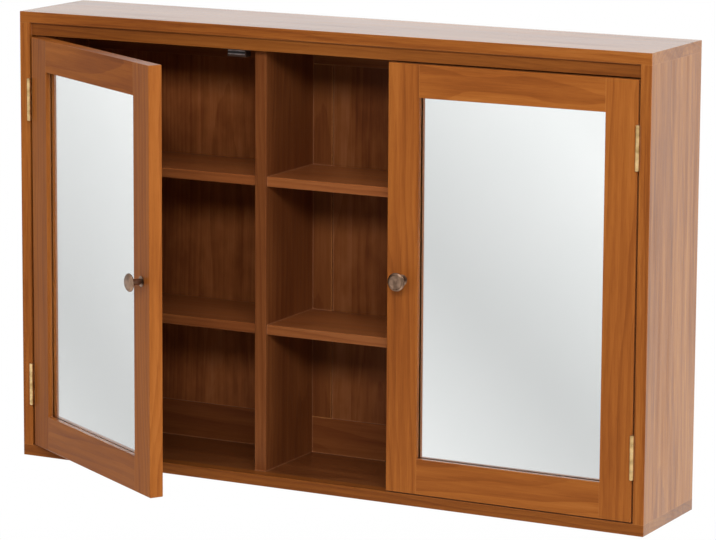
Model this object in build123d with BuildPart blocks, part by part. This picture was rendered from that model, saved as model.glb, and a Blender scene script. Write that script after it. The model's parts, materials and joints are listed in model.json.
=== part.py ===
"""A wall-hung bathroom mirror cabinet: a shallow wooden case, two hinged mirror doors and an open bay.

Millimetres. X runs to the right, Y towards the wall and Z up. The origin lies on the wall plane, midway
between the two keyholes that the cabinet hangs from. The left door stands open and the right one is shut.
"""

from build123d import *
from math import cos, radians, sin
import os

os.makedirs("parts", exist_ok=True)

# Case
case_width = 980.0
case_height = 650.0
case_depth = 170.0
board_thickness = 16.0
divider_thickness = 18.0
centre_bay_width = 197.0
arris_radius = 1.0
opening_ease = 0.8

# Header rail under the top board
header_height = 18.0
header_depth = 40.0
header_setback = 6.0

# Shelves, housed in the sides and dividers
shelf_thickness = 14.0
shelves_per_bay = 2
shelf_setback = 3.0
housing_depth = 4.0
shelf_arris = 1.2

# Back frame and its panels
back_thickness = 10.0
back_rail_height = 52.0
back_stile_width = 40.0
muntin_width = 80.0
panel_thickness = 4.0
panel_recess = 3.5
groove_depth = 6.0
panel_play = 0.5
back_arris = 0.8

# Dowels in the case joints
dowel_radius = 4.0
dowel_length = 26.0
dowel_in_board = 10.0
dowel_play = 0.05
dowel_end_play = 0.5
dowel_chamfer = 1.0
front_dowel_inset = 34.0
divider_dowel_inset = 80.0
rear_dowel_inset = 36.0

# Doors
door_thickness = 20.0
door_top_gap = 2.0
door_bottom_gap = 1.5
door_lap_on_divider = 13.2
divider_reveal = 2.0
left_door_angle = 32.0
stile_width = 47.0
door_top_rail_height = 46.0
door_bottom_rail_height = 50.0
door_arris = 1.2
mirror_ease = 0.7
tenon_thickness = 6.0
tenon_length = 25.0
tenon_shoulder = 12.0

# Mirror, backing board and beads in the rebate at the back of each door
mirror_lip = 7.0
rebate_width = 8.0
mirror_thickness = 4.0
mirror_play = 0.5
backing_thickness = 3.0
bead_width = 7.0
bead_play = 0.2

# Butt hinges
hinge_length = 60.0
hinge_inset = 60.0
knuckle_radius = 3.0
knuckle_count = 5
knuckle_gap = 0.3
hinge_axis_offset = 3.6
leaf_thickness = 1.0
leaf_clearance = 0.2
leaf_reach = 15.0
pin_radius = 1.25
pin_play = 0.05
pin_head_height = 0.6

# Countersunk wood screws
screw_head_radius = 2.2
screw_shank_radius = 1.2
screw_length = 11.0
screw_play = 0.05
screw_tip_radius = 0.3
screw_tip_length = 2.0
screw_slot_width = 0.6
screw_slot_depth = 0.4
leaf_screw_spacing = 34.0

# Knobs
knob_height = 22.0
knob_radius = 12.8
knob_rim_height = 5.0
knob_rose_radius = 7.4
knob_rose_height = 2.0
knob_neck_radius = 4.2
knob_neck_flare = 1.0
knob_ring_radius = 9.4
knob_ring_width = 1.0
knob_ring_depth = 0.6
knob_rim_round = 1.6
knob_screw_radius = 1.95
knob_screw_play = 0.15
knob_screw_grip = 9.0
knob_thread_play = 0.05
knob_screw_head_radius = 3.8
knob_screw_head_height = 2.2

# Magnetic catches and strike plates
catch_length = 29.0
catch_depth = 15.0
catch_height = 12.6
catch_wall = 1.4
catch_from_divider = 15.0
catch_ear_length = 8.0
catch_ear_thickness = 3.0
catch_air_gap = 0.3
pole_thickness = 1.4
pole_spacing = 4.8
pole_proud = 0.6
strike_length = 28.0
strike_height = 9.0
strike_thickness = 1.0
strike_screw_spacing = 18.0

# Keyhole hanger plates in the back top rail
hanger_inset = 60.0
hanger_length = 36.0
hanger_width = 18.0
hanger_thickness = 2.0
hanger_corner = 3.0
hanger_rise = 4.0
hanger_screw_spacing = 26.0
hanger_screw_length = 8.0
keyhole_radius = 4.5
keyhole_slot_radius = 2.4
keyhole_travel = 7.0
hanger_pocket_play = 1.5
hanger_pocket_depth = 6.0

# Places that follow from the sizes
wall_y = 0.0
front_y = wall_y - case_depth
top_z = board_thickness + back_rail_height / 2
base_z = top_z - case_height
roof_z = top_z - board_thickness
floor_z = base_z + board_thickness
half_width = case_width / 2
inner_half = half_width - board_thickness
hanger_x = half_width - hanger_inset
divider_inner_x = centre_bay_width / 2
divider_outer_x = divider_inner_x + divider_thickness
divider_middle_x = (divider_inner_x + divider_outer_x) / 2
back_front_y = wall_y - back_thickness
divider_front_y = front_y + door_thickness + divider_reveal
shelf_front_y = divider_front_y + shelf_setback
header_front_y = front_y + header_setback
header_back_y = header_front_y + header_depth
header_bottom_z = roof_z - header_height
panel_front_y = back_front_y + panel_recess
panel_back_y = panel_front_y + panel_thickness
screw_head_depth = screw_head_radius - screw_shank_radius
shelf_spacing = (roof_z - floor_z - shelves_per_bay * shelf_thickness) / (shelves_per_bay + 1)
shelf_bottoms = {
    "lower": floor_z + shelf_spacing,
    "upper": floor_z + 2 * shelf_spacing + shelf_thickness,
}

# Door frame: u runs from the hinge axis to the free edge, v towards the back, and z up
side_gap = 2 * leaf_thickness + leaf_clearance
hinge_edge_u = side_gap / 2
door_front_v = hinge_axis_offset
door_back_v = door_front_v + door_thickness
door_width = inner_half - side_gap - divider_outer_x + door_lap_on_divider
free_edge_u = hinge_edge_u + door_width
door_top_z = header_bottom_z - door_top_gap
door_bottom_z = floor_z + door_bottom_gap
door_middle_z = (door_top_z + door_bottom_z) / 2
opening_low_u = hinge_edge_u + stile_width
opening_high_u = free_edge_u - stile_width
opening_low_z = door_bottom_z + door_bottom_rail_height
opening_high_z = door_top_z - door_top_rail_height
rebate_front_v = door_front_v + mirror_lip
mirror_back_v = rebate_front_v + mirror_thickness
backing_back_v = mirror_back_v + backing_thickness
knob_u = free_edge_u - stile_width / 2
hinge_axis_x = inner_half - side_gap / 2
hinge_axis_y = front_y - hinge_axis_offset
hinge_bottoms = {
    "lower": door_bottom_z + hinge_inset,
    "upper": door_top_z - hinge_inset - hinge_length,
}
catch_low_x = divider_outer_x + catch_from_divider
catch_middle_x = catch_low_x + catch_length / 2
catch_front_y = front_y + door_thickness + strike_thickness + catch_air_gap + pole_proud
catch_middle_z = header_bottom_z - catch_height / 2
strike_middle_u = hinge_axis_x - catch_middle_x
strike_middle_z = door_top_z - door_arris - strike_height / 2


def save(piece, name):
    """Labels a finished piece and writes its STEP file."""
    piece.part.label = name
    export_step(piece.part, f"parts/{name}.step")


def add_box(low, high, mode=Mode.ADD):
    """A box between two opposite corners, in the frame of the piece being made."""
    with Locations(tuple((a + b) / 2 for a, b in zip(low, high))):
        Box(*(abs(b - a) for a, b in zip(low, high)), mode=mode)


def round_edges(piece, plane, is_wanted, radius):
    """Rounds the edges whose middle, in the plane's own frame, is wanted."""
    middles = [(edge, plane.to_local_coords(edge @ 0.5)) for edge in piece.edges()]
    fillet([edge for edge, middle in middles if is_wanted(middle.X, middle.Y, middle.Z)], radius)


def near(value, target):
    """Whether a measured coordinate is the stated one."""
    return abs(value - target) < 1e-4


def ease_front(plane, width, height, ease):
    """Cuts a small bevel round a rectangular opening whose front lies on the plane."""
    with BuildSketch(plane) as outline:
        Rectangle(width + 2 * ease, height + 2 * ease)
    extrude(outline.sketch, amount=ease, taper=45, mode=Mode.SUBTRACT)


def ease_case_opening():
    """The bevel round the case's front opening, cut from each of its four boards."""
    face = Plane((0, front_y, (roof_z + floor_z) / 2), x_dir=(1, 0, 0), z_dir=(0, 1, 0))
    ease_front(face, 2 * inner_half, roof_z - floor_z, opening_ease)


def dowel_places():
    """The middle line of each dowel: X, Y, the height of its joint, and which way the board lies."""
    side_middle_x = half_width - board_thickness / 2
    for x, front_inset in ((side_middle_x, front_dowel_inset), (divider_middle_x, divider_dowel_inset)):
        for hand in (-1, 1):
            for y in (front_y + front_inset, wall_y - rear_dowel_inset):
                yield hand * x, y, roof_z, 1
                yield hand * x, y, floor_z, -1


def bore_dowels(play=dowel_play, end_play=dowel_end_play):
    """Cuts the dowel holes that the piece being made shares with its neighbours."""
    for x, y, joint_z, board_side in dowel_places():
        in_board_z = joint_z + board_side * (dowel_in_board + end_play)
        in_upright_z = joint_z - board_side * (dowel_length - dowel_in_board + end_play)
        with Locations((x, y, (in_board_z + in_upright_z) / 2)):
            Cylinder(dowel_radius + play, abs(in_board_z - in_upright_z), mode=Mode.SUBTRACT)


def cut_housings(outer_x):
    """Cuts the shelf housings into the face at outer_x of the piece being made."""
    for bottom in shelf_bottoms.values():
        add_box(
            (outer_x - housing_depth, shelf_front_y, bottom),
            (outer_x + housing_depth, back_front_y, bottom + shelf_thickness),
            Mode.SUBTRACT,
        )


def add_screw(seat, length=screw_length, play=0.0, mode=Mode.ADD):
    """A countersunk screw, or with play its hole. The seat's z axis points from the head into the work."""
    middle = (Align.CENTER, Align.CENTER, Align.MIN)
    head, shank, tip = (r + play for r in (screw_head_radius, screw_shank_radius, screw_tip_radius))
    straight_length = length - screw_tip_length
    with Locations(seat):
        Cone(head, shank, screw_head_depth, align=middle, mode=mode)
        Cylinder(shank, straight_length, align=middle, mode=mode)
    with Locations(Plane(seat.origin + seat.z_dir * straight_length, x_dir=seat.x_dir, z_dir=seat.z_dir)):
        Cone(shank, tip, screw_tip_length, align=middle, mode=mode)
    if mode == Mode.ADD:
        with Locations(seat):
            Box(2 * screw_head_radius, screw_slot_width, 2 * screw_slot_depth, mode=Mode.SUBTRACT)


def cut_screw_holes(seats, length=screw_length):
    """Cuts the hole of each screw from the piece being made."""
    for seat in seats:
        add_screw(seat, length, screw_play, Mode.SUBTRACT)


def make_screws(seats, name, length=screw_length, plane=Plane.XY):
    """A group of identical screws in one node."""
    with BuildPart(plane) as screws:
        for seat in seats:
            add_screw(seat, length)
    save(screws, name)


# Hinges, in a frame whose origin lies on the hinge axis

def leaf_screw_seats(side):
    """Where the leaf screws sit: on the leaf's inner face, pointing into the wood on its side."""
    u = side * leaf_clearance / 2
    v = door_front_v + leaf_reach / 2
    return [
        Plane((u, v, bottom + hinge_length / 2 + offset), x_dir=(0, 1, 0), z_dir=(side, 0, 0))
        for bottom in hinge_bottoms.values()
        for offset in (-leaf_screw_spacing / 2, leaf_screw_spacing / 2)
    ]


def make_leaves(plane, side, first_knuckle, name):
    """The two hinge leaves on one side of a door's gap, each with every other knuckle of its hinge."""
    pitch = hinge_length / knuckle_count
    low_u = side * leaf_clearance / 2
    high_u = side * (leaf_clearance / 2 + leaf_thickness)
    plate_v = knuckle_radius + knuckle_gap
    plate_back_v = door_front_v + leaf_reach
    with BuildPart(plane) as leaves:
        for bottom in hinge_bottoms.values():
            add_box((low_u, plate_v, bottom), (high_u, plate_back_v, bottom + hinge_length))
            for number in range(first_knuckle, knuckle_count, 2):
                low = bottom + number * pitch + knuckle_gap / 2
                high = bottom + (number + 1) * pitch - knuckle_gap / 2
                add_box((low_u, knuckle_radius / 2, low), (high_u, plate_v, high))
                with Locations((0, 0, (low + high) / 2)):
                    Cylinder(knuckle_radius, high - low)
            with Locations((0, 0, bottom + hinge_length / 2)):
                Cylinder(pin_radius + pin_play, hinge_length, mode=Mode.SUBTRACT)
        cut_screw_holes(leaf_screw_seats(side))
    save(leaves, name)


def make_hinge_pins():
    """The four hinge pins, each with a low domed head at both ends."""
    with BuildPart() as pins:
        for hand in (-1, 1):
            for bottom in hinge_bottoms.values():
                middle_z = bottom + hinge_length / 2
                with Locations((hand * hinge_axis_x, hinge_axis_y, middle_z)):
                    Cylinder(pin_radius, hinge_length)
                for end in (-1, 1):
                    head_z = middle_z + end * (hinge_length + pin_head_height) / 2
                    with Locations((hand * hinge_axis_x, hinge_axis_y, head_z)):
                        Cylinder(knuckle_radius - knuckle_gap, pin_head_height)
        tips = [
            level
            for bottom in hinge_bottoms.values()
            for level in (bottom - pin_head_height, bottom + hinge_length + pin_head_height)
        ]
        circles = pins.edges().filter_by(GeomType.CIRCLE)
        rims = [edge for edge in circles if any(near(edge.center().Z, tip) for tip in tips)]
        fillet(rims, pin_head_height / 2)
    save(pins, "hinge_pins")


# Case

def make_end_board(name, joint_z, outer_z):
    """The top or the bottom board, which runs over the ends of the sides."""
    with BuildPart() as board:
        add_box((-half_width, front_y, joint_z), (half_width, wall_y, outer_z))
        round_edges(
            board,
            Plane.XY,
            lambda x, y, z: (near(z, outer_z) and not near(y, wall_y))
            or (near(abs(x), half_width) and near(y, front_y)),
            arris_radius,
        )
        ease_case_opening()
        bore_dowels()
    save(board, name)


def make_side(name, hand):
    """A side of the case, with its shelf housings and the holes of its hinge screws."""
    with BuildPart() as side:
        add_box((hand * inner_half, front_y, floor_z), (hand * half_width, wall_y, roof_z))
        round_edges(
            side, Plane.XY, lambda x, y, z: near(x, hand * half_width) and near(y, front_y), arris_radius
        )
        ease_case_opening()
        cut_housings(hand * inner_half)
        bore_dowels()
        axis = Vector(hand * hinge_axis_x, hinge_axis_y, 0)
        for seat in leaf_screw_seats(hand):
            cut_screw_holes([Plane(axis + seat.origin, x_dir=seat.x_dir, z_dir=seat.z_dir)])
    save(side, name)


def make_divider(name, hand):
    """A divider, notched round the header rail and housed for the shelves on both faces."""
    with BuildPart() as divider:
        add_box(
            (hand * divider_inner_x, divider_front_y, floor_z),
            (hand * divider_outer_x, back_front_y, roof_z),
        )
        round_edges(
            divider,
            Plane.XY,
            lambda x, y, z: near(y, divider_front_y) and near(z, (floor_z + roof_z) / 2),
            arris_radius,
        )
        add_box(
            (hand * divider_inner_x, divider_front_y, header_bottom_z),
            (hand * divider_outer_x, header_back_y, roof_z),
            Mode.SUBTRACT,
        )
        cut_housings(hand * divider_inner_x)
        cut_housings(hand * divider_outer_x)
        bore_dowels()
    save(divider, name)


def make_header():
    """The header rail, which carries the catches and closes the gap over the doors."""
    with BuildPart() as header:
        add_box((-inner_half, header_front_y, header_bottom_z), (inner_half, header_back_y, roof_z))
        round_edges(
            header, Plane.XY, lambda x, y, z: near(y, header_front_y) and near(x, 0), arris_radius / 2
        )
        for hand in (-1, 1):
            cut_screw_holes(catch_screw_seats(hand))
    save(header, "header_rail")


def make_shelf(name, low_x, high_x, bottom_z):
    """A shelf, its front edge rounded above and below."""
    with BuildPart() as shelf:
        add_box((low_x, shelf_front_y, bottom_z), (high_x, back_front_y, bottom_z + shelf_thickness))
        round_edges(
            shelf,
            Plane.XY,
            lambda x, y, z: near(y, shelf_front_y) and near(x, (low_x + high_x) / 2),
            shelf_arris,
        )
    save(shelf, name)


def make_shelves():
    """Every shelf: two in each of the three bays."""
    side_low = divider_outer_x - housing_depth
    side_high = inner_half + housing_depth
    centre_half = divider_inner_x + housing_depth
    bays = {
        "left": (-side_high, -side_low),
        "centre": (-centre_half, centre_half),
        "right": (side_low, side_high),
    }
    for bay, (low_x, high_x) in bays.items():
        for level, bottom_z in shelf_bottoms.items():
            make_shelf(f"{bay}_{level}_shelf", low_x, high_x, bottom_z)


def make_dowels():
    """The dowels of the case joints, with chamfered ends."""
    with BuildPart() as dowels:
        for x, y, joint_z, board_side in dowel_places():
            middle_z = joint_z + board_side * (dowel_in_board - dowel_length / 2)
            with Locations((x, y, middle_z)):
                Cylinder(dowel_radius, dowel_length)
        chamfer(dowels.edges().filter_by(GeomType.CIRCLE), dowel_chamfer)
    save(dowels, "case_dowels")


# Back

back_low_z = floor_z + back_rail_height
back_high_z = roof_z - back_rail_height
muntin_low_x = divider_middle_x - muntin_width / 2
muntin_high_x = divider_middle_x + muntin_width / 2
back_openings = {
    "left": (-(inner_half - back_stile_width), -muntin_high_x),
    "centre": (-muntin_low_x, muntin_low_x),
    "right": (muntin_high_x, inner_half - back_stile_width),
}


def cut_panel_grooves():
    """Cuts the panel grooves that the piece being made shares with the panels."""
    for low_x, high_x in back_openings.values():
        add_box(
            (low_x - groove_depth, panel_front_y, back_low_z - groove_depth),
            (high_x + groove_depth, panel_back_y, back_high_z + groove_depth),
            Mode.SUBTRACT,
        )


def make_back_member(name, low_x, high_x, low_z, high_z, is_eased, cut_more=None):
    """One rail, stile or muntin of the back frame, with its arrises eased towards the panels."""
    with BuildPart() as member:
        add_box((low_x, back_front_y, low_z), (high_x, wall_y, high_z))
        round_edges(
            member, Plane.XY, lambda x, y, z: near(y, back_front_y) and is_eased(x, z), back_arris
        )
        cut_panel_grooves()
        if cut_more:
            cut_more()
    save(member, name)


def make_back():
    """The back's frame and its three panels."""
    rail_x = (-inner_half, inner_half)
    upright_z = (back_low_z, back_high_z)
    make_back_member("back_bottom_rail", *rail_x, floor_z, back_low_z, lambda x, z: near(z, back_low_z))
    make_back_member(
        "back_top_rail", *rail_x, back_high_z, roof_z, lambda x, z: near(z, back_high_z), cut_hanger_seats
    )
    for name, hand in (("left", -1), ("right", 1)):
        stile_x = hand * (inner_half - back_stile_width)
        make_back_member(
            f"back_{name}_stile", stile_x, hand * inner_half, *upright_z, lambda x, z: near(x, stile_x)
        )
        low_x = hand * muntin_low_x
        high_x = hand * muntin_high_x
        make_back_member(
            f"back_{name}_muntin", low_x, high_x, *upright_z, lambda x, z: near(x, low_x) or near(x, high_x)
        )
    reach = groove_depth - panel_play
    for name, (low_x, high_x) in back_openings.items():
        with BuildPart() as panel:
            add_box(
                (low_x - reach, panel_front_y, back_low_z - reach),
                (high_x + reach, panel_back_y, back_high_z + reach),
            )
        save(panel, f"back_{name}_panel")


# Keyhole hangers

def hanger_screw_seats():
    """Where the hanger screws sit, pointing away from the wall."""
    return [
        Plane((hand * hanger_x, wall_y, hanger_rise + offset), x_dir=(1, 0, 0), z_dir=(0, -1, 0))
        for hand in (-1, 1)
        for offset in (-hanger_screw_spacing / 2, hanger_screw_spacing / 2)
    ]


def cut_hanger_seats():
    """Cuts the plate seats, the pockets for the wall screws' heads and the screw holes."""
    for hand in (-1, 1):
        seat = Plane((hand * hanger_x, wall_y, hanger_rise), x_dir=(1, 0, 0), z_dir=(0, -1, 0))
        with BuildSketch(seat) as plate:
            RectangleRounded(hanger_width, hanger_length, hanger_corner)
        extrude(plate.sketch, amount=hanger_thickness, mode=Mode.SUBTRACT)
        pocket_half = keyhole_radius + hanger_pocket_play
        pocket_front_y = wall_y - hanger_thickness - hanger_pocket_depth
        pocket_top_z = keyhole_travel + keyhole_slot_radius + hanger_pocket_play
        add_box(
            (hand * hanger_x - pocket_half, wall_y, -pocket_half),
            (hand * hanger_x + pocket_half, pocket_front_y, pocket_top_z),
            Mode.SUBTRACT,
        )
    cut_screw_holes(hanger_screw_seats(), hanger_screw_length)


def make_hangers():
    """The two keyhole plates: a round entry at the origin's height and a slot that rises from it."""
    with BuildPart() as plates:
        for hand in (-1, 1):
            middle_x = hand * hanger_x
            with BuildSketch(Plane((middle_x, wall_y, 0), x_dir=(1, 0, 0), z_dir=(0, -1, 0))) as plate:
                with Locations((0, hanger_rise)):
                    RectangleRounded(hanger_width, hanger_length, hanger_corner)
                Circle(keyhole_radius, mode=Mode.SUBTRACT)
                with Locations((0, keyhole_travel / 2)):
                    Rectangle(2 * keyhole_slot_radius, keyhole_travel, mode=Mode.SUBTRACT)
                with Locations((0, keyhole_travel)):
                    Circle(keyhole_slot_radius, mode=Mode.SUBTRACT)
            extrude(plate.sketch, amount=hanger_thickness)
        cut_screw_holes(hanger_screw_seats(), hanger_screw_length)
    save(plates, "hanger_plates")
    make_screws(hanger_screw_seats(), "hanger_screws", hanger_screw_length)


# Magnetic catches

def catch_screw_seats(hand):
    """Where a catch's screws sit: on the underside of its ears, pointing up into the header."""
    ear_offset = (catch_length + catch_ear_length) / 2
    y = catch_front_y + catch_depth / 2
    z = header_bottom_z - catch_ear_thickness
    return [
        Plane((hand * catch_middle_x + offset, y, z), x_dir=(1, 0, 0), z_dir=(0, 0, 1))
        for offset in (-ear_offset, ear_offset)
    ]


def make_catch_housing(name, hand):
    """A catch's plastic housing: a box open at the front, between two screw ears."""
    middle_x = hand * catch_middle_x
    body_half = catch_length / 2
    ears_half = body_half + catch_ear_length
    mouth_half = body_half - catch_wall
    mouth_half_height = (pole_spacing + pole_thickness) / 2
    back_y = catch_front_y + catch_depth
    with BuildPart() as housing:
        add_box(
            (middle_x - body_half, catch_front_y, header_bottom_z - catch_height),
            (middle_x + body_half, back_y, header_bottom_z),
        )
        round_edges(
            housing, Plane.XY, lambda x, y, z: not near(z, header_bottom_z), arris_radius / 2
        )
        add_box(
            (middle_x - ears_half, catch_front_y, header_bottom_z - catch_ear_thickness),
            (middle_x + ears_half, back_y, header_bottom_z),
        )
        add_box(
            (middle_x - mouth_half, catch_front_y, catch_middle_z - mouth_half_height),
            (middle_x + mouth_half, back_y - catch_wall, catch_middle_z + mouth_half_height),
            Mode.SUBTRACT,
        )
        cut_screw_holes(catch_screw_seats(hand))
    save(housing, name)


def make_catch_insides():
    """The steel pole plates of both catches, and the magnets between them."""
    mouth_half = catch_length / 2 - catch_wall
    back_y = catch_front_y + catch_depth - catch_wall
    with BuildPart() as poles:
        for middle_x in (-catch_middle_x, catch_middle_x):
            for middle_z in (catch_middle_z - pole_spacing / 2, catch_middle_z + pole_spacing / 2):
                add_box(
                    (middle_x - mouth_half, catch_front_y - pole_proud, middle_z - pole_thickness / 2),
                    (middle_x + mouth_half, back_y, middle_z + pole_thickness / 2),
                )
    save(poles, "catch_pole_plates")
    magnet_half_height = (pole_spacing - pole_thickness) / 2
    with BuildPart() as magnets:
        for middle_x in (-catch_middle_x, catch_middle_x):
            add_box(
                (middle_x - mouth_half, catch_front_y + pole_proud, catch_middle_z - magnet_half_height),
                (middle_x + mouth_half, back_y, catch_middle_z + magnet_half_height),
            )
    save(magnets, "catch_magnets")


# Doors

def strike_screw_seats(swing):
    """Where the strike plate's screws sit on the back of the door."""
    v = door_back_v + strike_thickness
    return [
        Plane((swing * (strike_middle_u + offset), v, strike_middle_z), x_dir=(1, 0, 0), z_dir=(0, -1, 0))
        for offset in (-strike_screw_spacing / 2, strike_screw_spacing / 2)
    ]


def cut_rebate(swing):
    """Cuts the rebate that holds the mirror from the back of the piece being made."""
    add_box(
        (swing * (opening_low_u - rebate_width), rebate_front_v, opening_low_z - rebate_width),
        (swing * (opening_high_u + rebate_width), door_back_v, opening_high_z + rebate_width),
        Mode.SUBTRACT,
    )


def ease_mirror_opening(plane, swing):
    """The bevel round the mirror, cut from each member of the door frame."""
    middle_u = swing * (opening_low_u + opening_high_u) / 2
    middle = plane.from_local_coords(Vector(middle_u, door_front_v, (opening_low_z + opening_high_z) / 2))
    face = Plane(middle, x_dir=plane.x_dir, z_dir=plane.y_dir)
    ease_front(face, opening_high_u - opening_low_u, opening_high_z - opening_low_z, mirror_ease)


def tenon_levels():
    """The height range of the tenons of the bottom rail and of the top rail."""
    return {
        "bottom": (door_bottom_z + tenon_shoulder, opening_low_z - tenon_shoulder),
        "top": (opening_high_z + tenon_shoulder, door_top_z - tenon_shoulder),
    }


def add_tenons(swing, level, mode):
    """A rail's two tenons, or their mortises in the stiles."""
    low_z, high_z = tenon_levels()[level]
    for shoulder_u, end in ((opening_low_u, -1), (opening_high_u, 1)):
        add_box(
            (swing * shoulder_u, rebate_front_v, low_z),
            (swing * (shoulder_u + end * tenon_length), rebate_front_v + tenon_thickness, high_z),
            mode,
        )


def is_on_face(v):
    """Whether an edge lies on the front or the back of the door."""
    return near(v, door_front_v) or near(v, door_back_v)


def make_stile(plane, swing, name, outer_u, inner_u, screw_seats, has_knob):
    """A full-height stile, with its mortises, its part of the mirror rebate and its screw holes."""
    with BuildPart(plane) as stile:
        add_box(
            (swing * outer_u, door_front_v, door_bottom_z), (swing * inner_u, door_back_v, door_top_z)
        )
        round_edges(
            stile,
            plane,
            lambda u, v, z: near(u, swing * outer_u)
            or (is_on_face(v) and (near(z, door_top_z) or near(z, door_bottom_z))),
            door_arris,
        )
        for level in tenon_levels():
            add_tenons(swing, level, Mode.SUBTRACT)
        cut_rebate(swing)
        cut_screw_holes(screw_seats)
        if has_knob:
            hole_radius = knob_screw_radius + knob_screw_play
            with Locations((swing * knob_u, (door_front_v + door_back_v) / 2, door_middle_z)):
                Cylinder(hole_radius, door_thickness, rotation=(90, 0, 0), mode=Mode.SUBTRACT)
        ease_mirror_opening(plane, swing)
    save(stile, name)


def make_rail(plane, swing, name, level, outer_z, inner_z):
    """A rail between the stiles, with its tenons and its part of the mirror rebate."""
    with BuildPart(plane) as rail:
        add_box(
            (swing * opening_low_u, door_front_v, outer_z), (swing * opening_high_u, door_back_v, inner_z)
        )
        round_edges(rail, plane, lambda u, v, z: near(z, outer_z) and is_on_face(v), door_arris)
        add_tenons(swing, level, Mode.ADD)
        cut_rebate(swing)
        cut_screw_holes(strike_screw_seats(swing))
        ease_mirror_opening(plane, swing)
    save(rail, name)


def make_pane(plane, swing, name, front_v, back_v):
    """A sheet that lies in the mirror rebate: the mirror or its backing board."""
    reach = rebate_width - mirror_play
    with BuildPart(plane) as pane:
        add_box(
            (swing * (opening_low_u - reach), front_v, opening_low_z - reach),
            (swing * (opening_high_u + reach), back_v, opening_high_z + reach),
        )
    save(pane, name)


def make_beads(plane, swing, name):
    """The four beads that hold the mirror and its backing in the rebate."""
    low_u = opening_low_u - rebate_width
    high_u = opening_high_u + rebate_width
    low_z = opening_low_z - rebate_width
    high_z = opening_high_z + rebate_width
    with BuildPart(plane) as beads:
        for outer_z, inner_z in ((low_z, low_z + bead_width), (high_z, high_z - bead_width)):
            add_box((swing * low_u, backing_back_v, outer_z), (swing * high_u, door_back_v, inner_z))
        for outer_u, inner_u in ((low_u, low_u + bead_width), (high_u, high_u - bead_width)):
            add_box(
                (swing * outer_u, backing_back_v, low_z + bead_width + bead_play),
                (swing * inner_u, door_back_v, high_z - bead_width - bead_play),
            )
    save(beads, name)


def make_knob(plane, swing, name):
    """A turned knob: a rose, a waisted neck and a disc with a ring groove in its domed face."""
    centre = plane.from_local_coords(Vector(swing * knob_u, door_front_v, door_middle_z))
    outward = -plane.y_dir
    profile = Plane(centre, x_dir=(0, 0, 1), z_dir=Vector(0, 0, 1).cross(outward))
    rim_z = knob_height - knob_rim_height
    with BuildPart() as knob:
        with BuildSketch(profile):
            with BuildLine():
                rose = Polyline(
                    (0, 0), (knob_rose_radius, 0), (knob_rose_radius, knob_rose_height / 2),
                    (knob_neck_radius, knob_rose_height),
                )
                neck = TangentArc(
                    rose @ 1,
                    (knob_neck_radius + knob_neck_flare, rim_z - knob_neck_flare),
                    tangent=(0, 1),
                )
                under = Line(neck @ 1, (knob_radius - knob_rim_round, rim_z))
                rim = ThreePointArc(
                    under @ 1,
                    (knob_radius, rim_z + knob_rim_round),
                    (knob_radius - knob_rim_round / 2, rim_z + 2 * knob_rim_round),
                )
                groove = Polyline(
                    rim @ 1,
                    (knob_ring_radius + knob_ring_width, knob_height - knob_ring_depth),
                    (knob_ring_radius + knob_ring_width / 2, knob_height - 2 * knob_ring_depth),
                    (knob_ring_radius, knob_height - knob_ring_depth),
                )
                TangentArc((0, knob_height), groove @ 1, tangent=(1, 0))
                Line((0, knob_height), (0, 0))
            make_face()
        revolve(axis=Axis(centre, outward))
        with Locations(Plane(centre, x_dir=(0, 0, 1), z_dir=outward)):
            Cylinder(
                knob_screw_radius + knob_thread_play,
                knob_screw_grip + knob_thread_play,
                align=(Align.CENTER, Align.CENTER, Align.MIN),
                mode=Mode.SUBTRACT,
            )
    save(knob, name)


def make_knob_screw(plane, swing, name):
    """The machine screw that comes through the stile from the back and holds the knob."""
    length = door_thickness + knob_screw_grip
    seat = Plane((swing * knob_u, door_back_v, door_middle_z), x_dir=(1, 0, 0), z_dir=(0, -1, 0))
    shank_side = (Align.CENTER, Align.CENTER, Align.MIN)
    head_side = (Align.CENTER, Align.CENTER, Align.MAX)
    with BuildPart(plane) as screw:
        with Locations(seat):
            Cylinder(knob_screw_radius, length, align=shank_side)
            Cylinder(knob_screw_head_radius, knob_screw_head_height, align=head_side)
        circles = screw.edges().filter_by(GeomType.CIRCLE)
        fillet(circles.sort_by(Axis(plane.origin, plane.y_dir))[-1], knob_screw_head_height / 2)
        with Locations((swing * knob_u, door_back_v + knob_screw_head_height, door_middle_z)):
            Box(2 * knob_screw_head_radius, 2 * screw_slot_depth, screw_slot_width, mode=Mode.SUBTRACT)
    save(screw, name)


def make_strike(plane, swing, name):
    """The steel plate on the back of the door that the catch pulls on."""
    low_u = strike_middle_u - strike_length / 2
    low_z = strike_middle_z - strike_height / 2
    with BuildPart(plane) as strike:
        add_box(
            (swing * low_u, door_back_v, low_z),
            (swing * (low_u + strike_length), door_back_v + strike_thickness, low_z + strike_height),
        )
        cut_screw_holes(strike_screw_seats(swing))
    save(strike, name)


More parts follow.
